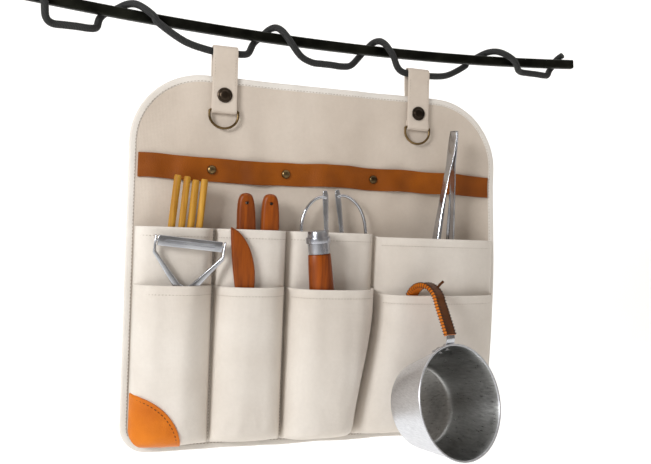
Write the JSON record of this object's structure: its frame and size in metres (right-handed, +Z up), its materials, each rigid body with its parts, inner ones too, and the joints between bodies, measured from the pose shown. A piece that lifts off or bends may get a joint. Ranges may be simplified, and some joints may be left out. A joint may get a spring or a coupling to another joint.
{
  "type": "hanging canvas utensil organiser on a laced rail",
  "caption": "Canvas pocket panel with leather trim that hangs by two snap straps from a laced rail and carries kitchen tools and a hooked cup.",
  "frame": {"origin": "centre of the rail, midway along it", "axes": "+X right along the rail, +Y away from the viewer towards the panel's back, +Z up"},
  "size_m": [0.6, 0.1419, 0.4414],
  "materials": {
    "black_metal": "satin black, slightly olive",
    "black_cord": "matte braided cord",
    "canvas": "heavy natural cotton canvas, matte",
    "pocket_canvas": "heavy natural cotton canvas, matte",
    "binding_tape": "folded cotton tape",
    "tan_leather": "smooth vegetable-tanned leather, satin",
    "orange_leather": "smooth light vegetable-tanned leather, satin",
    "antique_brass": "aged, satin",
    "dark_snap": "blackened, satin",
    "bamboo": "smooth pale bamboo",
    "red_wood": "oiled reddish wood",
    "brown_wood": "varnished orange-brown wood",
    "polished_steel": "polished",
    "brushed_aluminium": "brushed outside, worn inside"
  },
  "bodies": {
    "organiser": {"rail": "black_metal", "lacing_cord": "black_cord", "back_panel": "canvas", "edge_binding": "binding_tape", "upper_pocket_row": "pocket_canvas", "lower_pocket_row": "pocket_canvas", "leather_band": "tan_leather", "band_rivet_1": "antique_brass", "band_rivet_2": "antique_brass", "band_rivet_3": "antique_brass", "corner_patch_left": "orange_leather", "corner_patch_right": "orange_leather", "strap_back_left": "canvas", "strap_back_right": "canvas", "snap_stud_left": "dark_snap", "snap_stud_right": "dark_snap"},
    "strap_left": {"strap_front_left": "canvas", "snap_cap_left": "dark_snap", "snap_socket_left": "dark_snap"},
    "ring_left": {"d_ring_left": "antique_brass"},
    "strap_right": {"strap_front_right": "canvas", "snap_cap_right": "dark_snap", "snap_socket_right": "dark_snap"},
    "ring_right": {"d_ring_right": "antique_brass"},
    "chopstick_1": {"chopstick_1": "bamboo"},
    "chopstick_2": {"chopstick_2": "bamboo"},
    "chopstick_3": {"chopstick_3": "bamboo"},
    "chopstick_4": {"chopstick_4": "bamboo"},
    "table_knife": {"table_knife_handle": "red_wood", "table_knife_blade": "polished_steel"},
    "table_fork": {"table_fork_handle": "red_wood", "table_fork_tines": "polished_steel"},
    "scissors": {"scissor_half_left": "polished_steel", "scissor_pivot": "polished_steel"},
    "scissors_right": {"scissor_half_right": "polished_steel"},
    "tongs": {"tongs_arm_back": "polished_steel", "tongs_pin": "polished_steel"},
    "tongs_front": {"tongs_arm_front": "polished_steel"},
    "peeler": {"peeler_frame": "polished_steel"},
    "peeler_blade": {"peeler_blade": "polished_steel"},
    "spreader": {"wooden_spreader": "red_wood"},
    "folding_knife": {"knife_handle": "brown_wood", "knife_collar": "polished_steel", "knife_pivot": "polished_steel"},
    "knife_blade": {"knife_blade": "polished_steel"},
    "lock_ring": {"knife_lock_ring": "polished_steel"},
    "cup": {"cup_bowl": "brushed_aluminium", "cup_handle": "polished_steel", "cup_handle_wrap": "orange_leather", "cup_rivet_1": "polished_steel", "cup_rivet_2": "polished_steel"}
  },
  "joints": [
    {"name": "unsnap_strap_left", "type": "hinge", "parent": "organiser", "child": "strap_left", "pos_m": [-0.111, -0.0052, -0.0201], "axis": [1, 0, 0], "range_deg": [-70, 0]},
    {"name": "swing_d_ring_left", "type": "hinge", "parent": "strap_left", "child": "ring_left", "pos_m": [-0.111, -0.0052, -0.078], "axis": [1, 0, 0], "range_deg": [-80, 0]},
    {"name": "unsnap_strap_right", "type": "hinge", "parent": "organiser", "child": "strap_right", "pos_m": [0.1, -0.0052, -0.0201], "axis": [1, 0, 0], "range_deg": [-70, 0]},
    {"name": "swing_d_ring_right", "type": "hinge", "parent": "strap_right", "child": "ring_right", "pos_m": [0.1, -0.0052, -0.078], "axis": [1, 0, 0], "range_deg": [-80, 0]},
    {"name": "lift_chopstick_1", "type": "slide", "parent": "organiser", "child": "chopstick_1", "axis": [0.0872, -0.0521, 0.9948], "range_m": [0, 0.2]},
    {"name": "lift_chopstick_2", "type": "slide", "parent": "organiser", "child": "chopstick_2", "axis": [0.0767, -0.0522, 0.9957], "range_m": [0, 0.2]},
    {"name": "lift_chopstick_3", "type": "slide", "parent": "organiser", "child": "chopstick_3", "axis": [0.0732, -0.0522, 0.9959], "range_m": [0, 0.2]},
    {"name": "lift_chopstick_4", "type": "slide", "parent": "organiser", "child": "chopstick_4", "axis": [0.0732, -0.0522, 0.9959], "range_m": [0, 0.2]},
    {"name": "lift_table_knife", "type": "slide", "parent": "organiser", "child": "table_knife", "axis": [-0.0523, -0.0523, 0.9973], "range_m": [0, 0.19]},
    {"name": "lift_table_fork", "type": "slide", "parent": "organiser", "child": "table_fork", "axis": [-0.0262, -0.0523, 0.9983], "range_m": [0, 0.19]},
    {"name": "lift_scissors", "type": "slide", "parent": "organiser", "child": "scissors", "axis": [-0.1132, -0.0347, 0.993], "range_m": [0, 0.12]},
    {"name": "close_scissors", "type": "hinge", "parent": "scissors", "child": "scissors_right", "pos_m": [0.016, -0.008, -0.28], "axis": [0, 0.9994, 0.035], "range_deg": [-3.6, 0]},
    {"name": "lift_tongs", "type": "slide", "parent": "organiser", "child": "tongs", "axis": [0.0489, -0.0523, 0.9974], "range_m": [0, 0.19]},
    {"name": "open_tongs", "type": "hinge", "parent": "tongs", "child": "tongs_front", "pos_m": [0.119, -0.01, -0.385], "axis": [-0.259, 0.9638, 0.063], "range_deg": [-3.5, 0]},
    {"name": "lift_peeler", "type": "slide", "parent": "organiser", "child": "peeler", "axis": [0.0872, -0.0695, 0.9938], "range_m": [0, 0.07]},
    {"name": "swivel_peeler_blade", "type": "hinge", "parent": "peeler", "child": "peeler_blade", "pos_m": [-0.14251, -0.02911, -0.21012], "axis": [0.9962, 0.006, -0.087], "range_deg": [-20, 20]},
    {"name": "lift_spreader", "type": "slide", "parent": "organiser", "child": "spreader", "axis": [-0.0349, -0.0523, 0.998], "range_m": [0, 0.14]},
    {"name": "lift_folding_knife", "type": "slide", "parent": "organiser", "child": "folding_knife", "axis": [-0.1167, -0.0347, 0.9926], "range_m": [0, 0.115]},
    {"name": "open_knife_blade", "type": "hinge", "parent": "folding_knife", "child": "knife_blade", "pos_m": [-0.0156, -0.03001, -0.21116], "axis": [0, 0.9994, 0.035], "range_deg": [-18, 0]},
    {"name": "turn_lock_ring", "type": "hinge", "parent": "folding_knife", "child": "lock_ring", "pos_m": [-0.01653, -0.03028, -0.20322], "axis": [-0.1167, -0.0347, 0.9926], "range_deg": [0, 60]},
    {"name": "lift_cup_off", "type": "slide", "parent": "organiser", "child": "cup", "axis": [0, -0.0958, 0.9954], "range_m": [0, 0.06]}
  ]
}
